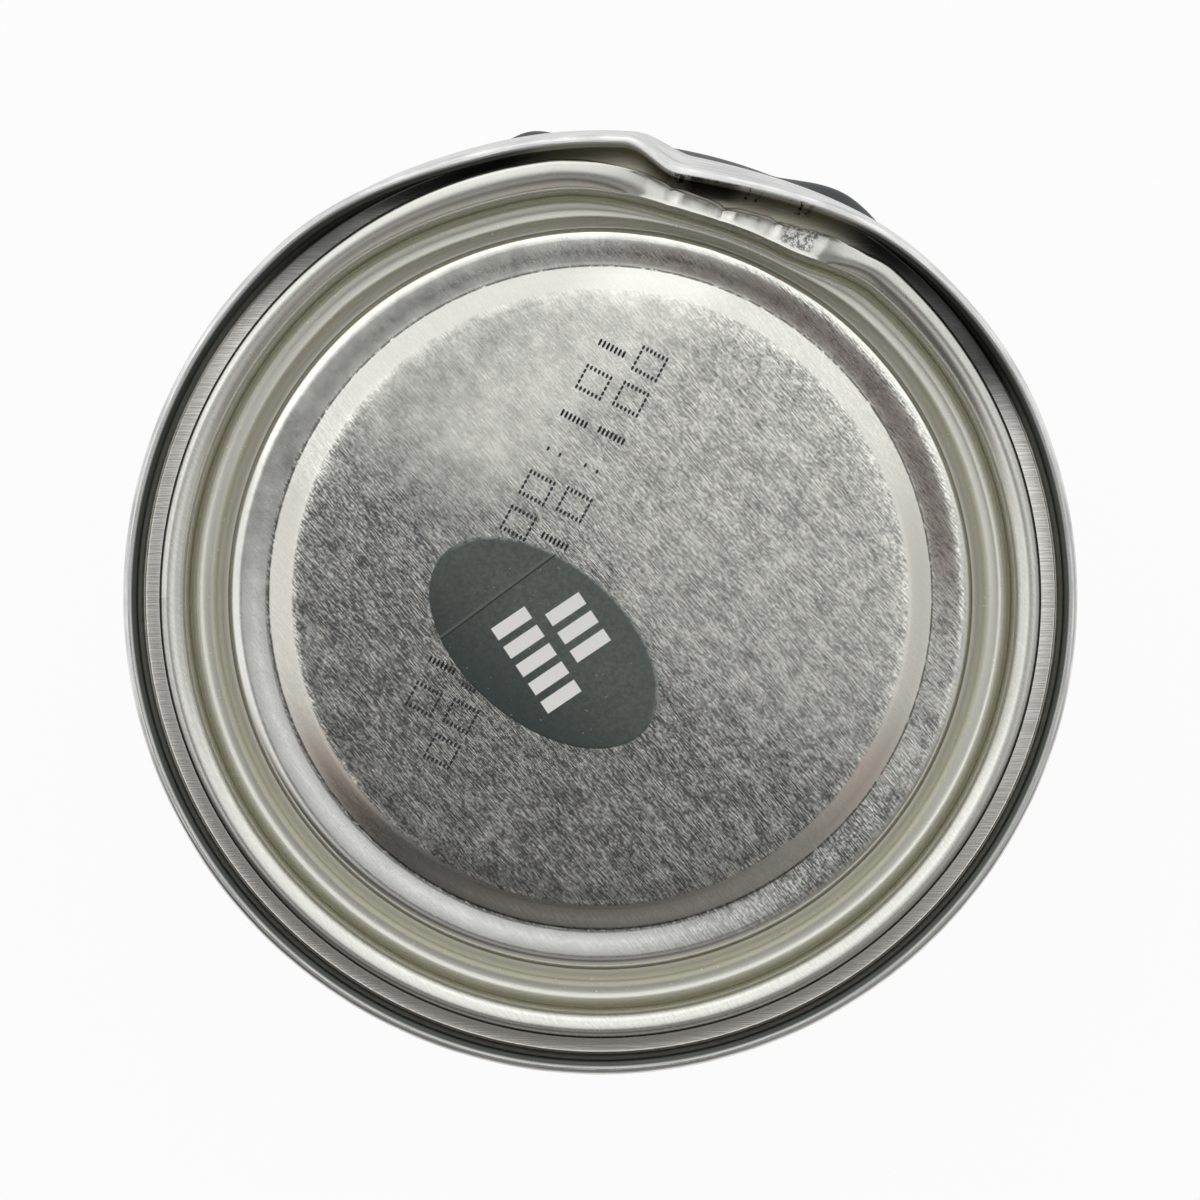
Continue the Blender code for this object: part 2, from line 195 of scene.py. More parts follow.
def centreLine(corners, longest):  # corners (radius, height, rounding) as points: arcs, and steps between
    points = []
    for index, (radius, height, rounding) in enumerate(corners):
        corner = np.array((radius, height), float)
        if rounding:
            back = np.subtract(corners[index - 1][:2], corner)
            ahead = np.subtract(corners[index + 1][:2], corner)
            back, ahead = back / np.hypot(*back), ahead / np.hypot(*ahead)
            turn = math.pi - math.acos(np.clip(back @ ahead, -1, 1))
            middle = (back + ahead) / np.hypot(*(back + ahead))
            centre = corner + middle * rounding / math.cos(turn / 2)
            first = corner + back * rounding * math.tan(turn / 2) - centre
            way = -np.sign(back[0] * ahead[1] - back[1] * ahead[0]) * turn
            count = max(gridStep["leastArc"], int(turn / math.radians(gridStep["arcDegrees"])) + 1)
            steps = np.linspace(0, way, count)
            arc = np.stack([first[0] * np.cos(steps) - first[1] * np.sin(steps),
                            first[0] * np.sin(steps) + first[1] * np.cos(steps)], 1) + centre
        else:
            arc = corner[None]
        if points:
            run = arc[0] - points[-1][-1]
            count = int(np.hypot(*run) / longest)
            points.append(points[-1][-1] + run * np.linspace(0, 1, count + 2)[1:-1, None])
        points.append(arc)
    return np.concatenate([run for run in points if len(run)])


def plateOutline(corners, plate, longest):  # the centreline moved half a plate to each side
    line = centreLine(corners, longest)
    ways = np.diff(line, axis=0)
    ways = ways / np.linalg.norm(ways, axis=1)[:, None]
    before, after = np.concatenate([ways[:1], ways]), np.concatenate([ways, ways[-1:]])
    normals = np.stack([-(before + after)[:, 1], (before + after)[:, 0]], 1)
    offset = normals * plate / 2 / (1 + (before * after).sum(1))[:, None]
    return np.concatenate([line + offset, (line - offset)[::-1]])


def addPiece(name, points, faces, finish, body, node):  # a mesh in place, riding on its body
    mesh = bpy.data.meshes.new(name)
    mesh.from_pydata((points * mm).tolist(), [], faces)
    mesh.shade_smooth()
    mesh.set_sharp_from_angle(angle=math.radians(sharpAngle))
    mesh.materials.append(finish)
    piece = bpy.data.objects.new(name, mesh)
    bpy.context.collection.objects.link(piece)
    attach(piece, body)
    if node:
        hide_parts(node)
    return piece


def turnedPiece(name, outline, finish, body, node):  # an outline carried round the axis, then dented
    onAxis = outline[:, 0] < 1e-6
    rows = outline[~onAxis]
    across, around = len(rows), len(turnAngles)
    angle = np.broadcast_to((turnAngles + 180) % 360 - 180, (across, around))
    plainRadius, plainHeight = (np.broadcast_to(rows[:, side, None], angle.shape) for side in (0, 1))
    radius, height = dented(plainRadius, angle, plainHeight)
    radius = radius + weldRidge(plainRadius, angle, plainHeight)
    turn = np.radians(angle)
    points = np.stack([radius * np.cos(turn), radius * np.sin(turn), height + canHeight], -1).reshape(-1, 3)
    made = np.stack([plainRadius, plainHeight, 0 * angle], -1).reshape(-1, 3)
    row, step = np.meshgrid(np.arange(across), np.arange(around), indexing="ij")
    here, above = row * around, (row + 1) % across * around
    ahead = (step + 1) % around
    quads = np.stack([here + step, here + ahead, above + ahead, above + step], -1)
    fans = np.zeros((0, 3), int)
    if onAxis.any():  # rows run from pole to pole, so the rows beside the poles close in fans
        cut = int(np.argmax(onAxis))
        quads = np.delete(quads, cut - 1, axis=0)
        poleHeight = outline[onAxis, 1]
        zero = 0 * poleHeight
        pole = len(points) + 0 * step[0]
        points = np.concatenate([points, np.stack([zero, zero, poleHeight + canHeight], 1)])
        made = np.concatenate([made, np.stack([zero, poleHeight, zero], 1)])
        fans = np.concatenate([
            np.stack([here[cut - 1] + step[0], here[cut - 1] + ahead[0], pole], 1),
            np.stack([here[cut] + ahead[0], here[cut] + step[0], pole + 1], 1),
        ])
    quads = quads.reshape(-1, 4)
    corners = points[quads]
    halves = [np.cross(corners[:, side], corners[:, side + 1]) for side in (1, 2)]
    volume = sum((corners[:, 0] * half).sum() for half in halves)
    if volume < 0:  # faces have to point outwards
        quads, fans = quads[:, ::-1], fans[:, ::-1]
    piece = addPiece(name, points, quads.tolist() + fans.tolist(), finish, body, node)
    kept = piece.data.attributes.new("made", "FLOAT_VECTOR", "POINT")  # radius and height before the dent
    kept.data.foreach_set("vector", made.ravel())


def atBase(corners):  # the same corners upside down, at the bottom of the tin
    return [(radius, -canHeight - height, rounding) for radius, height, rounding in corners]


def seamEdge():  # an end's edge, from the tip of its hook over the seam to the chuck wall
    return [
        (coverHook, -flangeDepth - tin["bodyPlate"] / 2 - seam["coverHookGap"], 0),
        (coverHook, -bendDepth, seam["hookRound"]),
        (outerWall, -bendDepth, seam["footRound"]),
        (outerWall, -tin["endPlate"] / 2, seam["round"]),
        (chuckWall, -tin["endPlate"] / 2, seam["innerRound"]),
    ]


def bodyOutline():  # finer above the foot of the dent than on the plain wall below it
    flange = [
        (bodyHook, -bendDepth + tin["endPlate"] / 2 + seam["bodyHookGap"], 0),
        (bodyHook, -flangeDepth, seam["flangeRound"]),
        (bodyWall, -flangeDepth, seam["flangeRound"]),
    ]
    dentFoot = [(bodyWall, -dent["depth"], 0)]
    top = plateOutline(flange + dentFoot, tin["bodyPlate"], gridStep["dentedWall"])
    low = plateOutline(dentFoot + atBase(flange)[::-1], tin["bodyPlate"], gridStep["plainWall"])
    half = len(top) // 2
    return np.concatenate([top[:half], low[1:-1], top[half:]])


def ringOutline():  # from the seam down the chuck wall, over the bead, then down the mouth to its hem
    mouthDepth = beadDepth + ringSize["mouthLength"]
    hem = mouthWall + ringSize["hemWidth"]
    return plateOutline(seamEdge() + [
        (chuckFoot, -ringSize["chuckDepth"], ringSize["round"]),
        (beadFoot, -ringSize["chuckDepth"], ringSize["round"]),
        (beadEdge, -beadDepth, ringSize["round"]),
        (mouthWall, -beadDepth, ringSize["round"]),
        (mouthWall, -mouthDepth, ringSize["hemRound"]),
        (hem, -mouthDepth, ringSize["hemRound"]),
        (hem, -mouthDepth + ringSize["hemHeight"], 0),
    ], tin["endPlate"], gridStep["ring"])


def lidOutline():  # from the tucked curl down the plug, through the groove, over the shoulder to the panel
    grooveFloor = curlTop + lidSize["grooveDepth"]
    return plateOutline([
        (curlEdge - lidSize["curlTuck"], -curlFoot, 0),
        (curlEdge, -curlFoot, lidSize["curlFootRound"]),
        (curlEdge, -curlTop, lidSize["curlRound"]),
        (plugWall, -curlTop, lidSize["curlInnerRound"]),
        (plugWall, -grooveFloor, lidSize["grooveRound"]),
        (grooveWall, -grooveFloor, lidSize["grooveRound"]),
        (shoulderEdge, -shoulderDepth, lidSize["shoulderRound"]),
        (slopeFoot, -shoulderDepth - lidSize["shoulderTilt"], lidSize["creaseRound"]),
        (panelEdge, -panelDepth, lidSize["slopeRound"]),
        (0, -panelDepth, 0),
    ], tin["lidPlate"], gridStep["lid"])


def bottomOutline():  # from the seam down the countersink, then up a step to the middle
    heel = chuckFoot - bottomSize["heelWidth"]
    raised = bottomSize["countersink"] - bottomSize["stepHeight"]
    return plateOutline(atBase(seamEdge() + [
        (chuckFoot, -bottomSize["countersink"], bottomSize["round"]),
        (heel, -bottomSize["countersink"], bottomSize["stepRound"]),
        (heel - bottomSize["stepWidth"], -raised, bottomSize["stepRound"]),
        (0, -raised, 0),
    ]), tin["endPlate"], gridStep["bottom"])


compound = {"fromChuck": 0.46, "fromOuter": 0.33, "points": 24, "sidePower": 0.6, "topPower": 0.8}


def compoundOutline(base):  # an oval with squared sides between the end's top and the body's flange
    inside, outside = chuckWall + compound["fromChuck"], outerWall - compound["fromOuter"]
    top = -tin["endPlate"] - seam["gap"]
    low = top - seam["compound"]
    turn = np.linspace(0, 2 * np.pi, compound["points"], endpoint=False)
    aside = np.sign(np.cos(turn)) * np.abs(np.cos(turn)) ** compound["sidePower"]
    rise = np.sign(np.sin(turn)) * np.abs(np.sin(turn)) ** compound["topPower"]
    across = (inside + outside) / 2 + (outside - inside) / 2 * aside
    upright = (top + low) / 2 + (top - low) / 2 * rise
    return np.stack([across, -canHeight - upright if base else upright], 1)


class Wire:  # a socket that can be used in sums; every sum adds its Math node
    def __init__(self, tree, socket):
        self.tree = tree
        self.socket = socket

    def sum(self, operation, first, second):
        node = self.tree.nodes.new("ShaderNodeMath")
        node.operation = operation
        for place, value in enumerate((first, second)):
            if isinstance(value, Wire):
                self.tree.links.new(value.socket, node.inputs[place])
            else:
                node.inputs[place].default_value = value
        return Wire(self.tree, node.outputs[0])

    def __add__(self, other):
        return self.sum("ADD", self, other)

    def __sub__(self, other):
        return self.sum("SUBTRACT", self, other)

    def __rsub__(self, other):
        return self.sum("SUBTRACT", other, self)

    def __mul__(self, other):
        return self.sum("MULTIPLY", self, other)

    def __truediv__(self, other):
        return self.sum("DIVIDE", self, other)

    def __pow__(self, other):
        return self.sum("POWER", self, other)

    __radd__ = __add__
    __rmul__ = __mul__


class Finish:  # a node tree; node() adds any node, settings first and then its sockets
    def __init__(self, tree):
        self.tree = tree
        tree.nodes.clear()

    def node(self, kind, settings=None, out=0, **sockets):  # sockets go by name, or by i and number
        made = self.tree.nodes.new("ShaderNode" + kind)
        for key, value in (settings or {}).items():
            setattr(made, key, value)
        for key, value in sockets.items():
            place = int(key[1:]) if key[0] == "i" and key[1:].isdigit() else key.replace("_", " ")
            if isinstance(value, Wire):
                self.tree.links.new(value.socket, made.inputs[place])
            else:
                made.inputs[place].default_value = value
        return Wire(self.tree, made.outputs[out]) if made.outputs else None

    def larger(self, first, second):
        return first.sum("MAXIMUM", first, second)

    def size(self, value):  # a value without its sign
        return self.node("Math", {"operation": "ABSOLUTE"}, i0=value)

    def angle(self, x, y):
        return self.node("Math", {"operation": "ARCTAN2"}, i0=y, i1=x) * math.degrees(1)

    def step(self, value, low, high):  # smooth step of a value between two limits
        smoothed = {"interpolation_type": "SMOOTHSTEP"}
        return self.node("MapRange", smoothed, Value=value, From_Min=low, From_Max=high)

    def past(self, value, edge, band):  # smooth step between two distances from an edge
        return self.step(value, edge + band[0], edge + band[1])

    def near(self, value, middle, half, soft):  # 1 within half of the middle, fading over soft
        return 1 - self.step(self.size(value - middle), half, half + soft)

    def beside(self, value, edge, band):  # near a line at a distance from an edge
        return self.near(value, edge + band[0], band[1], band[2])

    def mix(self, share, first, second):  # colours blended by a share
        first, second = ((*side, 1) if isinstance(side, tuple) else side for side in (first, second))
        return self.node("Mix", {"data_type": "RGBA"}, 2, i0=share, i6=first, i7=second)

    def layers(self, colour, colours, strengths, **masks):  # each mask lays its own colour over the last
        for kind, mask in masks.items():
            colour = self.mix(mask * strengths[kind], colour, colours[kind])
        return colour

    def total(self, amounts, **masks):  # the plain amount, and one more for each mask
        return amounts["plain"] + sum(mask * amounts[kind] for kind, mask in masks.items())

    def noise(self, vector, scale, detail=2.0, roughness=0.5):
        return self.node("TexNoise", Vector=vector, Scale=scale, Detail=detail, Roughness=roughness)

    def grain(self, spot, turn, length, width):  # noise drawn out along one direction
        rolled = self.node("Mapping", Vector=spot, Rotation=(0, 0, math.radians(-turn)))
        drawn = self.node("Mapping", Vector=rolled, Scale=(1 / length, 1 / width, 1 / length))
        return self.noise(drawn, 1.0, 3.0, 0.6)

    def split(self, vector):  # the x and y of a vector
        return tuple(self.node("SeparateXYZ", out=axis, Vector=vector) for axis in (0, 1))

    def place(self):  # the point on the piece, in millimetres, and its x and y
        spot = self.node("VectorMath", {"operation": "SCALE"}, i0=self.node("TexCoord", out=3), Scale=1 / mm)
        return spot, *self.split(spot)

    def made(self):  # radius and height of the point before the dent, in millimetres
        return self.split(self.node("Attribute", {"attribute_name": "made"}, 1))

    def bump(self, height, strength, depth):  # depth in millimetres
        return self.node("Bump", Height=height, Strength=strength, Distance=depth * mm)

    def surface(self, colour, roughness, normal=None, **sockets):
        if normal:
            sockets["Normal"] = normal
        shader = self.node("BsdfPrincipled", Base_Color=colour, Roughness=roughness, **sockets)
        self.node("OutputMaterial", Surface=shader)


def newFinish(name):  # an empty material and its node tree
    made = bpy.data.materials.new(name)
    made.use_nodes = True
    return made, Finish(made.node_tree)


lidGrain = {  # streaks as length and width, noises as scale, detail and roughness
    "turn": 131.0, "fine": (1.05, 0.13), "long": (5.0, 0.15), "broad": (4.5, 0.8),
    "specks": (3.4, 2.0, 0.6), "cloud": (0.06, 3.0), "blotch": (0.4, 3.0, 0.6), "rubbed": (2.6, 4.0, 0.75),
    "broken": (2.2, 2.0), "scuffs": (1.0, 4.0, 0.7), "scuffScale": (1.4, 1.4, 5.0),
    "shares": (0.46, 0.17, 0.14, 0.23), "streak": (0.40, 0.62),
    "scuffStep": (0.62, 0.72), "brokenStep": (0.30, 0.5),
    "scrapeStep": (0.42, 0.58), "smearStep": (0.45, 0.6), "bumpShares": (0.7, 0.3), "bump": (0.6, 0.03),
}
lidColour = {
    "silver": ((0.13, 0.13, 0.13), (0.97, 0.97, 0.90)),
    "grooveFloor": ((0.87, 0.86, 0.775), (0.95, 0.94, 0.865)),
    "straw": (0.98, 0.975, 0.945), "plug": (0.46, 0.45, 0.355), "stain": (0.23, 0.145, 0.12),
    "bright": (0.95, 0.95, 0.92), "blush": (0.85, 0.52, 0.42), "cream": (0.80, 0.775, 0.70),
    "scrape": ((0.10, 0.10, 0.10), (0.85, 0.85, 0.84)),
    "smear": (0.97, 0.97, 0.95), "line": (0.06, 0.06, 0.05),
}
lidBand = {  # distances from an edge: two limits, or a middle, half width and fade
    "flat": (-1.3, -0.2), "groove": (-0.1, 0.5), "grooveTop": (-1.4, -0.9), "plug": (-1.0, -0.35),
    "inner": (-0.3, 0.6), "onCurl": (-0.2, 0.3), "outerCurl": (1.3, 2.1),
    "slope": (0, lidSize["slopeWidth"] / 2 - 0.3, 0.35),
    "annulus": (0, 1.6, 0.3), "stain": (-0.6, 1.0, 0.5), "shoulder": (-0.2, 0.5, 0.4),
    "scrape": (-0.9, 0.7, 0.5),
    "smear": (2.2, 0.9, 0.8), "crease": (0, 0.05, 0.10), "shoulderLine": (0.18, 0.02, 0.10),
    "curlLine": (-1.2, 0.03, 0.14),
}
lidArc = {  # middle, half width and fade of each stretch, in degrees
    "stain": (44.0, 34.0, 20.0), "leftBlush": (-146.0, 5.0, 9.0), "rightBlush": (-33.0, 2.0, 6.0),
    "scrape": (61.0, 1.8, 1.0), "smear": (93.0, 5.0, 5.0), "brightCurl": (140.0, 35.0, 25.0),
}
lidZone = {  # limits over the sheet, in millimetres along x, y or a direction
    "turn": 42.3, "sheen": (20.5, 2.0, 6.0), "sheenEnd": (-11.0, 4.0),
    "calm": (9.0, 20.0), "calmEnd": (-14.0, 0.0),
    "wornWay": (-0.55, -0.84), "worn": (-11.0, 11.0), "wornEdge": 30.0, "annulus": (-5.0, 22.0),
    "grip": (8.0, 30.0), "back": (-5.0, 15.0), "brightWay": (-0.6, -0.8), "bright": (8.0, 30.0),
    "cream": (-6.0, 12.0, 12.0),
}
lidLoss = {"edge": 0.88, "slope": 0.8, "annulus": 0.8, "calm": 0.62, "even": 0.18}  # the grain's loss there
lidShade = {  # how far each part of the sheet goes from dark to bright silver
    "plain": 0.74, "worn": -0.29, "wornSlope": 0.5, "sheen": 0.20, "calm": -0.06, "outerCurl": -0.2,
    "brightCurl": 0.9, "shoulder": 0.22, "blotch": 0.8, "streakMiddle": 0.6,
}
lidTint = {  # strength of each painted shade, highlight, rub and shade line
    "stain": 0.6, "stainStreak": 0.4, "bright": 0.7, "blush": 0.3, "cream": 0.6, "scrape": 0.85, "smear": 0.5,
    "crease": 0.8, "line": 0.55,
}
lidRough = {
    "plain": 0.15, "curl": 0.08, "dull": 0.10, "cloud": 0.05, "groove": 0.07, "scuffs": 0.05, "scrape": 0.2,
}
lacquer = {"outer": 0.3, "inner": 0.5}  # how far the groove's lacquer hides the metal


def lidTinplate():  # bright rolled plate with its grain one way, and straw-coloured in the groove
    made, f = newFinish("lid_tinplate")
    spot, x, y = f.place()
    first, height = f.made()
    angle = f.angle(x, y)
    turn = lidGrain["turn"]
    fine, long, broad = (f.grain(spot, turn, *lidGrain[kind]) for kind in ("fine", "long", "broad"))
    specks, cloud, blotch = (f.noise(spot, *lidGrain[kind]) for kind in ("specks", "cloud", "blotch"))
    rubbed, broken = (f.noise(spot, *lidGrain[kind]) for kind in ("rubbed", "broken"))
    scuffed = f.noise(f.node("Mapping", Vector=spot, Scale=lidGrain["scuffScale"]), *lidGrain["scuffs"])
    parts = zip((fine, long, broad, specks), lidGrain["shares"])
    streak = f.step(sum(part * share for part, share in parts), *lidGrain["streak"])

    # the lid's parts, from the panel outwards
    annulusMiddle = (slopeFoot + shoulderEdge) / 2
    flat = 1 - f.past(first, shoulderEdge, lidBand["flat"])
    slope = f.beside(first, (slopeFoot + panelEdge) / 2, lidBand["slope"])
    annulus = f.beside(first, annulusMiddle, lidBand["annulus"])
    belowCurl = 1 - f.past(height, -curlTop, lidBand["grooveTop"])
    groove = f.past(first, shoulderEdge, lidBand["groove"]) * belowCurl
    inner = 1 - f.past(first, grooveWall, lidBand["inner"])
    plug = f.past(first, plugWall, lidBand["plug"]) * groove
    onCurl, outerCurl = (f.past(first, plugWall, lidBand[kind]) for kind in ("onCurl", "outerCurl"))

    # how strong the grain is, and how bright the silver
    along, across = turned(x, y, (0, 0), lidZone["turn"])
    sheen = f.near(across, *lidZone["sheen"]) * f.step(along, *lidZone["sheenEnd"])  # bright, back left
    calm = f.step(across, *lidZone["calm"]) * f.step(along, *lidZone["calmEnd"])  # fainter grain there
    forward = x * lidZone["wornWay"][0] + y * lidZone["wornWay"][1]
    worn = f.step(forward + (cloud - 0.5) * lidZone["wornEdge"], *lidZone["worn"])  # painted shade, darker to the front left
    grip = f.larger(worn, annulus * f.step(x, *lidZone["grip"]))
    strength = (1 - lidLoss["edge"] * (1 - flat)) * (1 - lidLoss["slope"] * slope)
    strength = strength * (1 - lidLoss["calm"] * calm)
    strength = strength * (1 - lidLoss["annulus"] * annulus * (1 - f.step(x, *lidZone["annulus"])))
    # painted shade: the curl's outer part darker, except over a stretch at the back left
    brightCurl = lidShade["brightCurl"] * f.near(angle, *lidArc["brightCurl"])
    # painted highlight along the shoulder's edge at the back
    shoulder = f.beside(first, shoulderEdge, lidBand["shoulder"]) * f.step(y, *lidZone["back"])
    share = f.total(lidShade, worn=worn * flat * (1 - lidShade["wornSlope"] * slope), sheen=sheen * flat,
                    calm=calm * flat, outerCurl=outerCurl * (1 - brightCurl), shoulder=shoulder,
                    blotch=(blotch - 0.5) * flat * (1 - slope))
    share = share + (streak - lidShade["streakMiddle"]) * strength * (1 - lidLoss["even"] * (1 - grip))
    silver = f.mix(share, *lidColour["silver"])

    # painted shade and highlights on the silver, then the groove's lacquer
    # painted shade, reddish brown, on the annulus at the back right
    stainMix = 1 - lidTint["stainStreak"] * (1 - streak)
    stain = f.beside(first, annulusMiddle, lidBand["stain"]) * f.near(angle, *lidArc["stain"]) * stainMix
    # painted highlight on the annulus towards the front left
    bright = annulus * f.step(x * lidZone["brightWay"][0] + y * lidZone["brightWay"][1], *lidZone["bright"])
    # painted warm shade on the slope at the front left and front right
    blush = slope * f.larger(f.near(angle, *lidArc["leftBlush"]), f.near(angle, *lidArc["rightBlush"]))
    # painted shade on the slope's sides, leaving its back and front as they are
    cream = slope * f.near(y, *lidZone["cream"])
    silver = f.layers(silver, lidColour, lidTint, stain=stain, bright=bright, blush=blush, cream=cream)
    floor = f.mix(inner, f.mix(fine, *lidColour["grooveFloor"]), lidColour["straw"])
    colour = f.mix(groove, silver, f.mix(plug, floor, lidColour["plug"]))

    # rubs, and fine dark lines of painted shade in the creases
    scrape = f.near(angle, *lidArc["scrape"]) * f.beside(first, curlEdge, lidBand["scrape"])
    scraped = f.mix(f.step(rubbed, *lidGrain["scrapeStep"]), *lidColour["scrape"])
    colour = f.mix(scrape * lidTint["scrape"], colour, scraped)
    smear = f.near(angle, *lidArc["smear"]) * f.beside(first, slopeFoot, lidBand["smear"])
    smear = smear * f.step(rubbed, *lidGrain["smearStep"])
    colour = f.mix(smear * lidTint["smear"], colour, lidColour["smear"])
    # painted shade: fine dark lines in the crease at the slope's foot, beside the shoulder, and under the
    # curl
    fold = f.beside(first, slopeFoot, lidBand["crease"]) * f.step(broken, *lidGrain["brokenStep"])
    shoulderLine = f.beside(first, shoulderEdge, lidBand["shoulderLine"])
    lines = f.larger(shoulderLine, f.beside(height, -curlTop, lidBand["curlLine"]) * groove)
    colour = f.mix(f.larger(fold * lidTint["crease"], lines * lidTint["line"]), colour, lidColour["line"])

    scuffs = f.step(scuffed, *lidGrain["scuffStep"])
    rough = f.total(lidRough, curl=onCurl, dull=(1 - streak) * flat, cloud=cloud, groove=groove,
                    scuffs=scuffs, scrape=scrape)
    relief = (fine * lidGrain["bumpShares"][0] + broad * lidGrain["bumpShares"][1]) * strength
    metal = 1 - groove * (1 - plug) * (lacquer["outer"] + lacquer["inner"] * inner)
    f.surface(colour, rough, f.bump(relief, *lidGrain["bump"]), Metallic=metal)
    return made


ringGrain = {
    "turn": 0.0, "rolled": (4.0, 0.17), "rolledStep": (0.36, 0.66), "around": 9.0, "across": 6.0,
    "drawn": (1.0, 3.0, 0.6), "drawnStep": (0.32, 0.68), "cloud": (0.09, 3.0), "inside": (0.3, 0.4),
    "bump": (0.3, 0.02),
}
ringColour = {
    "seam": ((0.56, 0.565, 0.56), (0.80, 0.80, 0.79)),
    "seamSide": ((0.36, 0.365, 0.37), (0.55, 0.555, 0.555)),
    "floor": ((0.74, 0.73, 0.68), (0.92, 0.91, 0.865)), "frontFloor": (0.45, 0.44, 0.375),
    "leftFloor": (0.06, 0.062, 0.055), "rightFloor": (0.03, 0.034, 0.03),
    "dent": ((0.36, 0.335, 0.26), (0.56, 0.53, 0.44)), "wall": ((0.05, 0.058, 0.052), (0.11, 0.117, 0.104)),
    "hollow": (0.05, 0.044, 0.034), "torn": (0.03, 0.026, 0.021),
}
ringBand = {  # distances from an edge
    "outside": (0.35, 0.8), "wall": (-0.2, -0.05), "side": (-0.06, 0.08), "sideTop": (-0.9, -0.35),
    "within": (0.6, 0.8), "front": (5.0, 38.0),
}
ringArc = {  # middle, half width and fade of each stretch, in degrees
    "dent": (77.0, 17.0, 9.0), "brightSide": (78.0, 34.0, 16.0), "leftFloor": (116.0, 10.0, 22.0),
    "rightFloor": (42.0, 10.0, 14.0), "torn": (75.0, 4.0, 3.0), "nick": (67.0, 4.5, 2.0),
    "hollow": (74.8, 2.2, 2.4),
}
ringTint = {
    "brightSide": 0.85, "front": 0.35, "leftFloor": 0.85, "rightFloor": 0.93, "dentWall": 0.75, "hollow": 0.8,
    "torn": 0.92,
}
ringRough = {"plain": 0.2, "line": 0.10, "dent": 0.1, "wall": 0.16}
torn = {  # the broken lacquer along the dented seam's inner edge, and painted shade in its hollow
    "radius": 45.9, "angle": 78.0, "lean": 0.117, "edge": (-0.15, 0.3, 0.2), "nick": (-0.9, 0.5, 0.3),
    "hollow": (-1.0, 0.8, 0.6), "tearScale": (0.9, 0.6), "tear": (1.0, 4.0, 0.75), "tearStep": (0.47, 0.52),
    "flakeScale": (0.8, 0.5), "flakeLayer": 3.0, "flake": (1.0, 3.0, 0.7), "flakeStep": (0.55, 0.59),
}


def ringTinplate():  # silver outside, straw lacquer inside, torn at the dent; painted shade on the wall and floor
    made, f = newFinish("ring_tinplate")
    spot, x, y = f.place()
    first, height = f.made()
    radius = (x * x + y * y) ** 0.5
    angle = f.angle(x, y)
    rolled = f.step(f.grain(spot, ringGrain["turn"], *ringGrain["rolled"]), *ringGrain["rolledStep"])
    around = f.node("CombineXYZ", X=x / radius * ringGrain["around"], Y=y / radius * ringGrain["around"],
                    Z=(first + height) * ringGrain["across"])
    drawn = f.step(f.noise(around, *ringGrain["drawn"]), *ringGrain["drawnStep"])
    cloud = f.noise(spot, *ringGrain["cloud"])
    outside = f.past(first, chuckWall, ringBand["outside"])
    wall = f.past(first, chuckFoot, ringBand["wall"]) * (1 - outside)
    atDent = f.near(angle, *ringArc["dent"])

    # painted shade: the seam's outer face below its top is coloured darker, less so where the dent tilts it
    # up
    side = f.past(first, outerWall, ringBand["side"]) * (1 - f.step(height, *ringBand["sideTop"]))
    side = side * (1 - ringTint["brightSide"] * f.near(angle, *ringArc["brightSide"]))
    silver = f.mix(side, f.mix(drawn, *ringColour["seam"]), f.mix(drawn, *ringColour["seamSide"]))
    floor = f.mix(rolled, *ringColour["floor"])
    # painted shade: the floor darker towards the front
    floor = f.mix(f.step(0 - y, *ringBand["front"]) * ringTint["front"], floor, ringColour["frontFloor"])
    for stretch in ("leftFloor", "rightFloor"):  # painted shade beside the dent
        floor = f.mix(f.near(angle, *ringArc[stretch]) * ringTint[stretch], floor, ringColour[stretch])
    floor = f.mix(atDent, floor, f.mix(cloud, *ringColour["dent"]))
    # painted shade: the chuck wall is coloured near-black, less so at the dent
    colour = f.mix(wall * (1 - ringTint["dentWall"] * atDent), floor, f.mix(cloud, *ringColour["wall"]))
    colour = f.mix(outside, colour, silver)

    edge = torn["radius"] + (torn["angle"] - angle) * torn["lean"]  # the dented seam's inner edge
    past = radius - edge
    within = 1 - f.past(first, chuckWall, ringBand["within"])
    tearSpot = f.node("CombineXYZ", X=angle * torn["tearScale"][0], Y=past * torn["tearScale"][1])
    tear = f.step(f.noise(tearSpot, *torn["tear"]), *torn["tearStep"])
    tear = tear * f.near(angle, *ringArc["torn"]) * f.near(past, *torn["edge"])
    flakeSpot = f.node("CombineXYZ", X=angle * torn["flakeScale"][0], Y=past * torn["flakeScale"][1],
                       Z=torn["flakeLayer"])
    nick = f.step(f.noise(flakeSpot, *torn["flake"]), *torn["flakeStep"])
    nick = nick * f.near(angle, *ringArc["nick"]) * f.near(past, *torn["nick"])
    # painted shade in the hollow behind the dented seam's edge
    hollow = f.near(angle, *ringArc["hollow"]) * f.near(past, *torn["hollow"]) * within
    colour = f.layers(colour, ringColour, ringTint, hollow=hollow, torn=f.larger(tear, nick) * within)

    line = drawn * outside + (ringGrain["inside"][0] + ringGrain["inside"][1] * rolled) * (1 - outside)
    rough = ringRough["plain"] + ringRough["line"] * (1 - line)
    rough = rough + (ringRough["dent"] * atDent + ringRough["wall"] * wall) * (1 - outside)
    f.surface(colour, rough, f.bump(line, *ringGrain["bump"]), Metallic=1.0)
    return made


coating = {
    "coat": ((0.024, 0.027, 0.031), (0.030, 0.034, 0.038)), "plate": ((0.50, 0.49, 0.46), (0.66, 0.66, 0.63)),
    "bareStrip": (2.2, 2.5), "ragged": (0.4, 2.0), "raggedWidth": 0.3, "inside": (0.06, 0.16),
    "facing": (0.0, 1.0),
    "peel": (1.6, 2.0), "mottle": (0.12, 4.0), "mottleStep": (0.3, 0.75), "wearScale": (0.5, 0.5, 6.0),
    "wear": (1.0, 3.0), "wearStep": (0.3, 0.7), "rough": (0.44, 0.06), "bump": (0.12, 0.04), "specular": 0.2,
}


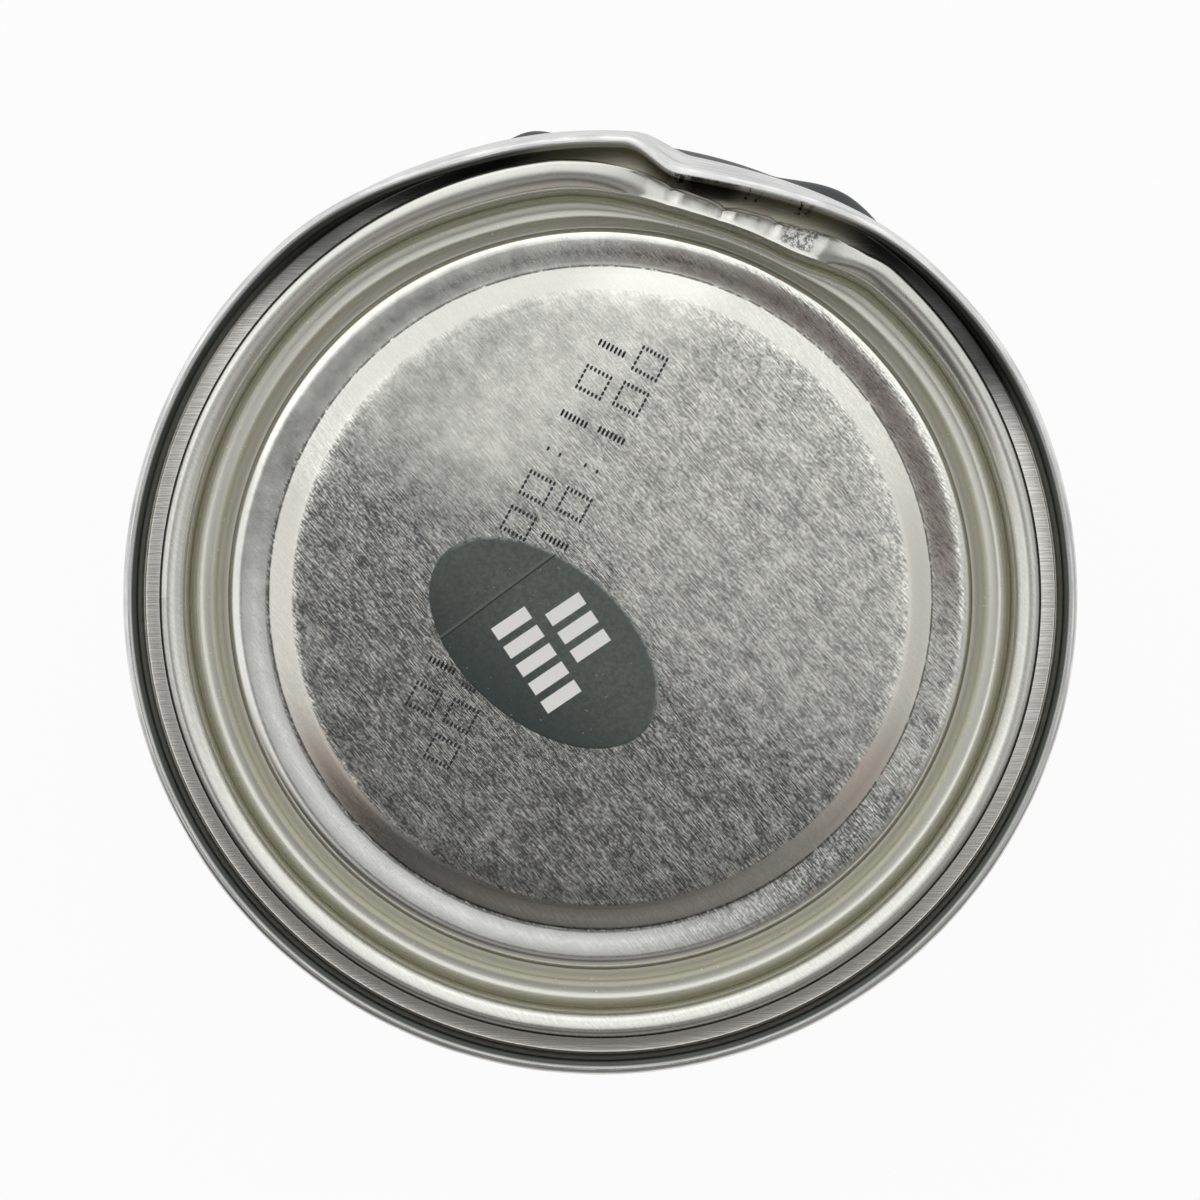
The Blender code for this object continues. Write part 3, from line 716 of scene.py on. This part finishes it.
def coatedPlate():  # dark satin coating with a faint orange peel, left bare beside the weld and inside
    made, f = newFinish("coated_plate")
    spot, x, y = f.place()
    facing, beside = turned(x, y, (0, 0), weld["angle"])
    wobble = f.noise(spot, *coating["ragged"]) * coating["raggedWidth"]
    bare = f.step(facing, *coating["facing"]) * (1 - f.step(f.size(beside) + wobble, *coating["bareStrip"]))
    metal = f.larger(bare, 1 - f.past(f.made()[0], boreRadius, coating["inside"]))
    mottle = f.noise(spot, *coating["mottle"])
    wear = f.noise(f.node("Mapping", Vector=spot, Scale=coating["wearScale"]), *coating["wear"])
    coat = f.mix(f.step(mottle, *coating["mottleStep"]), *coating["coat"])
    plate = f.mix(f.step(wear, *coating["wearStep"]), *coating["plate"])
    rough = coating["rough"][0] + coating["rough"][1] * mottle
    peel = f.bump(f.noise(spot, *coating["peel"]), *coating["bump"])
    f.surface(f.mix(metal, coat, plate), rough, peel, Metallic=metal, Specular_IOR_Level=coating["specular"])
    return made


sealing = {
    "colour": ((0.15, 0.16, 0.145), (0.25, 0.26, 0.24)), "speck": (3.0, 3.0),
    "rough": (0.6, 0.2), "bump": (0.2, 0.05),
}


def sealingCompound():  # dull grey rubber with a fine speckle
    made, f = newFinish("sealing_compound")
    speck = f.noise(f.place()[0], *sealing["speck"])
    rough = sealing["rough"][0] + sealing["rough"][1] * speck
    f.surface(f.mix(speck, *sealing["colour"]), rough, f.bump(speck, *sealing["bump"]))
    return made


bottomFinish = {
    "silver": ((0.54, 0.54, 0.52), (0.72, 0.72, 0.69)), "dull": (0.45, 0.42, 0.37), "turn": 35.0,
    "cloud": (0.06, 3.0),
    "streak": (0.3, 0.7), "cloudStep": (0.4, 0.8), "dulling": 0.3, "rough": (0.22, 0.1), "bump": (0.4, 0.03),
}


def bottomTinplate():  # plain rolled plate, clouded in places
    made, f = newFinish("bottom_tinplate")
    spot = f.place()[0]
    fine = f.grain(spot, bottomFinish["turn"], *lidGrain["fine"])
    streak = f.step(fine, *bottomFinish["streak"])
    cloud = f.step(f.noise(spot, *bottomFinish["cloud"]), *bottomFinish["cloudStep"])
    colour = f.mix(streak, *bottomFinish["silver"])
    colour = f.mix(cloud * bottomFinish["dulling"], colour, bottomFinish["dull"])
    rough = bottomFinish["rough"][0] + bottomFinish["rough"][1] * (1 - streak)
    f.surface(colour, rough, f.bump(fine, *bottomFinish["bump"]), Metallic=1.0)
    return made


label = {"at": (-6.0, -4.8), "turn": -40.3, "length": 28.5, "width": 17.1, "thickness": 0.12, "gap": 0.05}
labelMesh = {"around": 192, "rings": 26, "inmost": 0.04, "outmost": 0.97}
labelEdge = ((0.99, 0.95), (1.0, 0.7), (1.0, 0.12), (0.985, 0.0))  # shares of the oval and of the thickness
crease = {
    "from": (-16.8, -4.35), "to": (-4.4, 4.8), "ridge": 0.05, "ridgeWidth": 0.22,
    "lift": 0.10, "liftWidth": 6,
}
creaseRun = np.subtract(crease["to"], crease["from"])
creaseTurn = math.degrees(math.atan2(creaseRun[1], creaseRun[0]))
blocks = {  # two rows of plain white blocks: x, y, count and whole length of each row
    "rows": ((-6.81, -6.65, 5, 10.9), (-2.37, -3.18, 3, 6.2)), "turn": -56.0, "width": 1.5, "height": 4.3,
    "inset": 0.06, "edge": 0.12, "endEdge": 0.01,
}
labelFinish = {
    "film": ((0.060, 0.075, 0.065), (0.112, 0.132, 0.115)), "cloudy": (0.090, 0.108, 0.098),
    "shade": (0.012, 0.024, 0.024), "rubbed": (0.36, 0.40, 0.37), "creaseLight": (0.16, 0.19, 0.175),
    "creaseDark": (0.010, 0.014, 0.014), "dust": (0.30, 0.33, 0.31), "blocks": (0.87, 0.87, 0.85),
    "mottle": (2.2, 3.0, 0.65), "mottleStep": (0.28, 0.75), "cloud": (0.14, 2.0), "cloudStep": (0.35, 0.7),
    "dustNoise": (2.1, 2.0), "dustStep": (0.73, 0.76), "shadeStep": (-9.0, 3.0), "rubbedOval": (0.962, 0.99),
    "rubbedSide": (0.0, 4.0), "rubbedMottle": (0.3, 0.55), "lightLine": (0.22, 0.08, 0.15),
    "darkLine": (0.0, 0.05, 0.08), "rough": (0.42, 0.2), "bump": (0.25, 0.04),
}
labelTint = {"cloudy": 0.4, "shade": 0.8, "rubbed": 0.55, "creaseLight": 0.35, "creaseDark": 0.9, "dust": 0.7}


def blockRow(f, x, y, row):  # a mask of evenly spaced blocks along one row
    atX, atY, count, length = row
    along, aside = turned(x, y, (atX, atY), blocks["turn"])
    pitch = (length - blocks["width"]) / (count - 1)
    inRow = f.near(along, 0.0, length / 2, blocks["endEdge"])
    inRow = inRow * f.near(aside, 0.0, blocks["height"] / 2 - blocks["inset"], blocks["edge"])
    start = along + (length - blocks["width"]) / 2
    fromBlock = f.node("Math", {"operation": "PINGPONG"}, i0=start, i1=pitch / 2)
    return inRow * (1 - f.past(fromBlock, blocks["width"] / 2, (-blocks["inset"], blocks["inset"])))


def labelFilm():  # dark green-grey film with a fine mottle, a crease, and two rows of plain white blocks
    made, f = newFinish("label_film")
    spot, x, y = f.place()
    along, aside = turned(x, y, label["at"], label["turn"])
    oval = ((along * (2 / label["length"])) ** 2.0 + (aside * (2 / label["width"])) ** 2.0) ** 0.5
    past = turned(x, y, crease["from"], creaseTurn)[1]
    mottle = f.noise(spot, *labelFinish["mottle"])
    rubbed = f.step(oval, *labelFinish["rubbedOval"]) * f.step(aside, *labelFinish["rubbedSide"])
    masks = {
        "cloudy": f.step(f.noise(spot, *labelFinish["cloud"]), *labelFinish["cloudStep"]),
        "shade": 1 - f.step(aside, *labelFinish["shadeStep"]),
        "rubbed": rubbed * f.step(mottle, *labelFinish["rubbedMottle"]),  # the far edge is rubbed pale
        # painted highlight and painted shade along the two sides of the crease
        "creaseLight": f.near(past, *labelFinish["lightLine"]),
        "creaseDark": f.near(past, *labelFinish["darkLine"]),
        "dust": f.step(f.noise(spot, *labelFinish["dustNoise"]), *labelFinish["dustStep"]),
    }
    film = f.mix(f.step(mottle, *labelFinish["mottleStep"]), *labelFinish["film"])
    film = f.layers(film, labelFinish, labelTint, **masks)
    printed = f.larger(*(blockRow(f, x, y, row) for row in blocks["rows"]))
    rough = labelFinish["rough"][0] + labelFinish["rough"][1] * mottle
    f.surface(f.mix(printed, film, labelFinish["blocks"]), rough, f.bump(mottle, *labelFinish["bump"]))
    return made


def makeLabel(finish):  # an oval disc: rings of points from the middle to a rounded edge, closed underneath
    turn = np.linspace(0, 2 * np.pi, labelMesh["around"], endpoint=False)
    rings = np.linspace(labelMesh["inmost"], labelMesh["outmost"], labelMesh["rings"])
    shares, rises = np.concatenate([np.stack([rings, 0 * rings + 1], 1), labelEdge]).T[:, :, None]
    along = label["length"] / 2 * shares * np.cos(turn)
    aside = label["width"] / 2 * shares * np.sin(turn)
    tilt = math.radians(label["turn"])
    x = label["at"][0] + along * math.cos(tilt) - aside * math.sin(tilt)
    y = label["at"][1] + along * math.sin(tilt) + aside * math.cos(tilt)
    past = turned(x, y, crease["from"], creaseTurn)[1]  # distance from the crease, over it positive
    fold = crease["ridge"] * np.exp(-(past / crease["ridgeWidth"]) ** 2)
    fold = fold + crease["lift"] * smooth(past, 0, crease["liftWidth"])
    under = panelTop + label["gap"]
    z = under + rises * label["thickness"] + fold * (rises > 0)
    ends = [(*label["at"], under + label["thickness"]), (*label["at"], under)]
    points = np.concatenate([np.stack([x, y, z], -1).reshape(-1, 3), ends])
    ring, step = np.meshgrid(np.arange(len(shares)) * len(turn), np.arange(len(turn)), indexing="ij")
    here, ahead = ring + step, ring + (step + 1) % len(turn)
    quads = np.stack([here[:-1], here[1:], ahead[1:], ahead[:-1]], -1).reshape(-1, 4)
    bottom = len(points) - 1 + 0 * step[0]
    upperFan = np.stack([bottom - 1, here[0], ahead[0]], 1)
    lowerFan = np.stack([bottom, ahead[-1], here[-1]], 1)
    faces = quads.tolist() + upperFan.tolist() + lowerFan.tolist()
    addPiece("lid_label_film", points, faces, finish, "lid", "lid_label")


ink = {
    "rows": ((0.66, 28.4), (4.6, 26.6)), "turn": -118.2, "pitch": 4.25, "column": 0.62, "line": 0.47,
    "dot": (0.27, 0.15), "corners": 8, "height": 0.015, "lift": 0.006, "labelMargin": 0.2, "panelMargin": 0.5,
    "colour": ((0.006, 0.007, 0.010), (0.022, 0.024, 0.030)), "speck": (4.0, 2.0), "rough": (0.45, 0.2),
}
marks = {  # plain dotted marks, as columns and lines of dots: a box, a bar, a pair of dots, and a gap
    "box": [(column, line) for column in range(5) for line in range(7) if column in (0, 4) or line in (0, 6)],
    "bar": [(column, line) for column in (2, 2.5) for line in range(7)],
    "dots": [(2, 1), (2, 4)],
    "gap": [],
}
printRows = (
    ("bar", "box", "bar", "dots", "box", "box", "gap", "gap", "bar", "bar", "box"),
    ("box", "box", "bar", "dots", "box", "bar", "gap", "gap", "gap", "box", "box", "box"),
)


def blackInk():  # matt black, a little uneven
    made, f = newFinish("black_ink")
    speck = f.noise(f.place()[0], *ink["speck"])
    f.surface(f.mix(speck, *ink["colour"]), ink["rough"][0] + ink["rough"][1] * speck)
    return made


def makePrint(finish):  # each dot is a small flat oval; the dots under the label are left out
    turn = math.radians(ink["turn"])
    ahead, upward = np.array((math.cos(turn), math.sin(turn))), np.array((-math.sin(turn), math.cos(turn)))
    spots = []
    for start, row in zip(ink["rows"], printRows):
        for place, mark in enumerate(row):
            column, line = np.reshape(marks[mark], (-1, 2)).T[:, :, None]
            along = place * ink["pitch"] + column * ink["column"]
            spots.append(start + ahead * along + upward * line * ink["line"])
    spots = np.concatenate(spots)
    along, aside = turned(*spots.T, label["at"], label["turn"])
    halfLength, halfWidth = (label[side] / 2 + ink["labelMargin"] for side in ("length", "width"))
    under = (along / halfLength) ** 2 + (aside / halfWidth) ** 2 < 1
    spots = spots[~under & (np.hypot(*spots.T) < panelEdge - ink["panelMargin"])]
    count = ink["corners"]
    turns = np.linspace(0, 2 * np.pi, count, endpoint=False)[:, None]
    oval = np.cos(turns) * ahead * ink["dot"][0] + np.sin(turns) * upward * ink["dot"][1]
    outline = np.tile(spots[:, None] + oval, (1, 2, 1))  # each dot's lower corners, then its upper ones
    levels = panelTop + ink["lift"] + np.repeat((0, ink["height"]), count)
    points = np.dstack([outline, np.broadcast_to(levels, outline.shape[:2])]).reshape(-1, 3)
    base = np.arange(len(spots))[:, None] * 2 * count
    corner = np.arange(count)
    following = (corner + 1) % count
    sides = base[:, :, None] + np.stack([corner, following, count + following, count + corner], 1)
    faces = (base + count + corner).tolist() + (base + corner[::-1]).tolist() + sides.reshape(-1, 4).tolist()
    addPiece("lid_print_dots", points, faces, finish, "lid", None)


sealant = sealingCompound()
turnedPiece("body_wall", bodyOutline(), coatedPlate(), "can", "can_body")
turnedPiece("seamed_ring", ringOutline(), ringTinplate(), "can", "top_ring")
turnedPiece("seamed_bottom", bottomOutline(), bottomTinplate(), "can", "bottom_end")
turnedPiece("top_seal", compoundOutline(False), sealant, "can", "top_seam_compound")
turnedPiece("bottom_seal", compoundOutline(True), sealant, "can", "bottom_seam_compound")
turnedPiece("press_lid", lidOutline(), lidTinplate(), "lid", "lid")
makeLabel(labelFilm())
makePrint(blackInk())

studio = {"floorHalf": 15.0, "floorColour": (0.86, 0.86, 0.85, 1), "white": 0.94}  # the floor in metres


def makeFloor():  # a wide pale sheet; mostly plain white to the camera, so that only a soft shadow shows
    corners = [(east * studio["floorHalf"], north * studio["floorHalf"], 0)
               for east, north in ((-1, -1), (1, -1), (1, 1), (-1, 1))]
    mesh = bpy.data.meshes.new("floor")
    mesh.from_pydata(corners, [], [(0, 1, 2, 3)])
    floor = bpy.data.objects.new("floor", mesh)
    bpy.context.collection.objects.link(floor)
    made, f = newFinish("pale_floor")
    camera, glossy, transmission = (f.node("LightPath", out=place) for place in (0, 3, 6))
    seen = f.larger(f.larger(camera, glossy), transmission)
    paper = f.node("BsdfDiffuse", Color=studio["floorColour"])
    white = f.node("Emission", Color=(1, 1, 1, 1), Strength=1.0)
    f.node("OutputMaterial", Surface=f.node("MixShader", i0=seen * studio["white"], i1=paper, i2=white))
    mesh.materials.append(made)


dome = {  # limits are shares of the way from straight up to the horizon, by x, y or both
    "edgeWay": (0.36, 0.93), "edge": (-0.036, 0.054), "high": (0.12, 0.5), "left": (0.15, 0.5),
    "leftEnd": (-0.5, -0.15), "right": (0.0, 0.9), "rightLow": (0.66, 0.86), "rightFront": (0.1, 0.4),
    "duller": (0.45, 0.75), "dullerEnd": (0.1, 0.45), "bandStart": (0.18, 0.3), "bandEnd": (0.42, 0.6),
    "front": (0.55, 0.95), "warmth": (0.1, 0.5), "warm": (1.0, 0.93, 0.89),
}
domeLight = {
    "plain": 0.06, "edge": 0.88, "high": 0.16, "left": 0.85, "right": 0.58, "rightLoss": 0.6,
    "dullerLoss": 0.38,
    "band": 0.26, "front": 0.35,
}


def makeWorld():  # a soft studio dome: bright behind the tin, dim in front, with its edge close to overhead
    world = bpy.data.worlds.new("studio")
    bpy.context.scene.world = world
    world.use_nodes = True
    f = Finish(world.node_tree)
    x, y = f.split(f.node("TexCoord", out=0))
    out = (x * x + y * y) ** 0.5
    edge = f.step(x * dome["edgeWay"][0] + y * dome["edgeWay"][1], *dome["edge"])
    high = f.step(y, *dome["high"])
    left = f.step(0 - x, *dome["left"]) * f.step(y, *dome["leftEnd"]) * (1 - high)
    lowRight = f.step(out, *dome["rightLow"]) * f.step(0 - y, *dome["rightFront"])
    right = f.step(x, *dome["right"]) * (1 - edge) * (1 - domeLight["rightLoss"] * lowRight)
    duller = f.step(x, *dome["duller"]) * (1 - f.step(y, *dome["dullerEnd"]))
    band = f.step(out, *dome["bandStart"]) * (1 - f.step(out, *dome["bandEnd"])) * (1 - edge)
    front = f.step(0 - y, *dome["front"])
    level = f.total(domeLight, edge=edge * (1 - domeLight["dullerLoss"] * duller), high=high, left=left,
                    right=right, band=band, front=front)
    tone = f.mix(f.step(0 - y, *dome["warmth"]), (1, 1, 1), dome["warm"])
    f.node("OutputWorld", Surface=f.node("Background", Color=tone, Strength=level))


softbox = {  # metres and watts
    "place": (0.05, 0.88, 0.48), "aim": (0, 0, 0.1), "size": (0.9, 0.4), "power": 0.3,
}


def makeLamp():  # a weak softbox behind the tin, turned to its aim
    lamp = bpy.data.lights.new("back_softbox", "AREA")
    lamp.shape = "RECTANGLE"
    lamp.size, lamp.size_y = softbox["size"]
    lamp.energy = softbox["power"]
    holder = bpy.data.objects.new("back_softbox", lamp)
    bpy.context.collection.objects.link(holder)
    holder.location = softbox["place"]
    way = np.subtract(softbox["aim"], softbox["place"])
    holder.rotation_euler = (math.acos(-way[2] / np.linalg.norm(way)), 0, math.atan2(-way[0], way[1]))


view = {"distance": 450.0, "frame": 127.3, "x": -0.03, "y": -0.27, "sensor": 36.0, "clip": (0.01, 50)}


def makeCamera():  # straight above the rim, as far away as the photograph's perspective asks
    camera = bpy.data.cameras.new("camera")
    camera.sensor_width = view["sensor"]
    camera.lens = view["sensor"] * view["distance"] / view["frame"]
    camera.clip_start, camera.clip_end = view["clip"]
    holder = bpy.data.objects.new("camera", camera)
    holder.location = (view["x"] * mm, view["y"] * mm, (canHeight + view["distance"]) * mm)
    bpy.context.collection.objects.link(holder)
    bpy.context.scene.camera = holder


makeFloor()
makeWorld()
makeLamp()
makeCamera()
bpy.context.scene.view_settings.view_transform = "Standard"
print("studio set")
